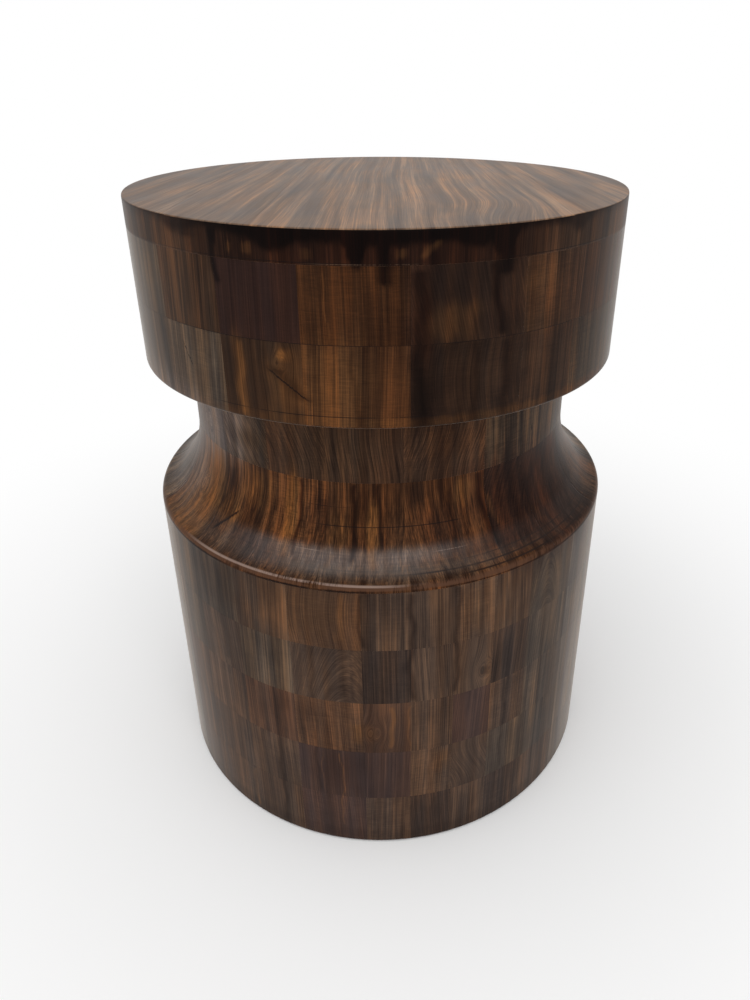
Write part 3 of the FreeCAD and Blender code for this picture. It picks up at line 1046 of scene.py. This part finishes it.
def felt_loops(angle, reach, floor):
    """The loops of a pad from the floor up."""
    sine, cosine = math.sin(math.radians(angle)), math.cos(math.radians(angle))
    middle = FELT_HALF - FELT_CORNER
    loops = []
    for inset, height in FELT_EDGE:
        loop = []
        for quarter, (right, back) in enumerate([(1, 1), (-1, 1), (-1, -1), (1, -1)]):
            centre = (right * middle, back * middle)
            loop += arc(centre, FELT_CORNER - inset, quarter * 90, quarter * 90 + 90, 6)
        loops.append([
            ((reach + b) * sine + a * cosine, -(reach + b) * cosine + a * sine, floor + height)
            for a, b in loop
        ])
    return np.array(loops)


def lay_felt(material):
    """Four pads with soft corners and edges under the foot. The first stands for all four."""
    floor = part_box("felt_pads")[0].z
    reach = (FOOT_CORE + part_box("lower_drum_5_front_blocks")[1].x) / 2
    for number, angle in enumerate(FELT_ANGLES, start=1):
        pad = sweep(f"felt_pad_{number}", felt_loops(angle, reach, floor))
        nodes = ["felt_pads"] if number == 1 else []
        dress(pad, material, "felt", *nodes)


# The table

block_wood = stained_wood("stained_upright_wood", specular=0.05, sheen=0.42)
plank_wood = stained_wood("stained_plank_wood", specular=0.05, sheen=0.13)
rng = random.Random(5)
for course in COURSES:
    for side in ("front", "back"):
        lay_blocks(course, side, rng, block_wood)
lay_planks(plank_wood)
lay_felt(pressed_felt())
dress_solid("base_board", plywood())
dress_solid("base_screws", zinc())


# Floor, light and camera

# The floor's rings of points, and where it starts and ends its change to white
FLOOR_RINGS = [0.25, 0.5, 1, 2, 5, 14]
FLOOR_POINTS = 96
FLOOR_FADE = (0.35, 0.9)

# Strength of the light from all round
DAYLIGHT = 0.82


def floor_mesh():
    """A disc of rings round a middle point."""
    turns = [math.tau * k / FLOOR_POINTS for k in range(FLOOR_POINTS)]
    spots = [(0, 0, 0)]
    for radius in FLOOR_RINGS:
        spots += [(radius * math.cos(turn), radius * math.sin(turn), 0) for turn in turns]
    after = [(k + 1) % FLOOR_POINTS for k in range(FLOOR_POINTS)]
    faces = [(0, 1 + k, 1 + after[k]) for k in range(FLOOR_POINTS)]
    for ring in range(len(FLOOR_RINGS) - 1):
        near, far = 1 + ring * FLOOR_POINTS, 1 + (ring + 1) * FLOOR_POINTS
        faces += [(near + k, far + k, far + after[k], near + after[k]) for k in range(FLOOR_POINTS)]
    mesh = bpy.data.meshes.new("floor")
    mesh.from_pydata(spots, [], faces)
    return mesh


def pale_floor():
    """Pale paper under the table, and plain white further off."""
    finish = new_finish("pale_floor")
    distance = finish.add("ShaderNodeVectorMath", {"operation": "LENGTH"}, {0: finish.place()}, "Value")
    white_share = seen_rays(finish) * finish.ease(distance, *FLOOR_FADE)
    paper = finish.add("ShaderNodeBsdfDiffuse", {}, {"Color": (0.95, 0.95, 0.95, 1)})
    white = finish.add("ShaderNodeEmission", {}, {"Color": (1, 1, 1, 1), "Strength": 1})
    surface = finish.add("ShaderNodeMixShader", {}, {"Fac": white_share, 1: paper, 2: white})
    finish.add("ShaderNodeOutputMaterial", {}, {"Surface": surface})
    return finish.owner


def seen_rays(finish):
    """1 where the camera looks straight at a surface, or by way of a mirror or glass."""
    path = finish.add("ShaderNodeLightPath", {}, {}, "Is Camera Ray")
    outputs = path.socket.node.outputs
    glossy = Wire(finish, outputs["Is Glossy Ray"])
    through = Wire(finish, outputs["Is Transmission Ray"])
    return path.math("MAXIMUM", glossy).math("MAXIMUM", through)


def lay_floor():
    """A floor that keeps the table's shadow."""
    floor = place_mesh("floor", floor_mesh())
    floor.data.materials.append(pale_floor())


def light_world():
    """Even light from all round, which the camera sees as white."""
    world = bpy.data.worlds.new("studio")
    bpy.context.scene.world = world
    finish = Finish(world)
    strength = DAYLIGHT + seen_rays(finish) * (1 - DAYLIGHT)
    glow = finish.add("ShaderNodeBackground", {}, {"Color": (1, 1, 1, 1), "Strength": strength})
    finish.add("ShaderNodeOutputWorld", {}, {"Surface": glow})


def hang_lamp(name, spot, size, power, target=(0, 0, 0.3)):
    """A square soft lamp that points at the middle of the table."""
    lamp = bpy.data.lights.new(name, "AREA")
    lamp.size = size
    lamp.energy = power
    stand = bpy.data.objects.new(name, lamp)
    stand.location = spot
    stand.rotation_euler = (Vector(target) - Vector(spot)).to_track_quat("-Z", "Y").to_euler()
    bpy.context.scene.collection.objects.link(stand)


def set_camera():
    """The photograph's view, a wide lens just above the top, fitted to the table's rims."""
    camera = bpy.data.cameras.new("camera")
    camera.lens = 26.9
    camera.sensor_width = 36
    camera.shift_x = -0.0304
    camera.shift_y = -0.0705
    camera.clip_start = 0.02
    stand = bpy.data.objects.new("camera", camera)
    stand.location = (0.0240, -0.6772, 0.6494)
    stand.rotation_euler = (math.radians(64.25), 0, 0)
    bpy.context.scene.collection.objects.link(stand)
    bpy.context.scene.camera = stand


lay_floor()
light_world()
hang_lamp("overhead_softbox", (-0.4, -0.6, 2.6), size=1.8, power=14)
hang_lamp("front_softbox", (0.9, -2.4, 1.7), size=1.6, power=12)
set_camera()
bpy.context.scene.view_settings.view_transform = "Standard"
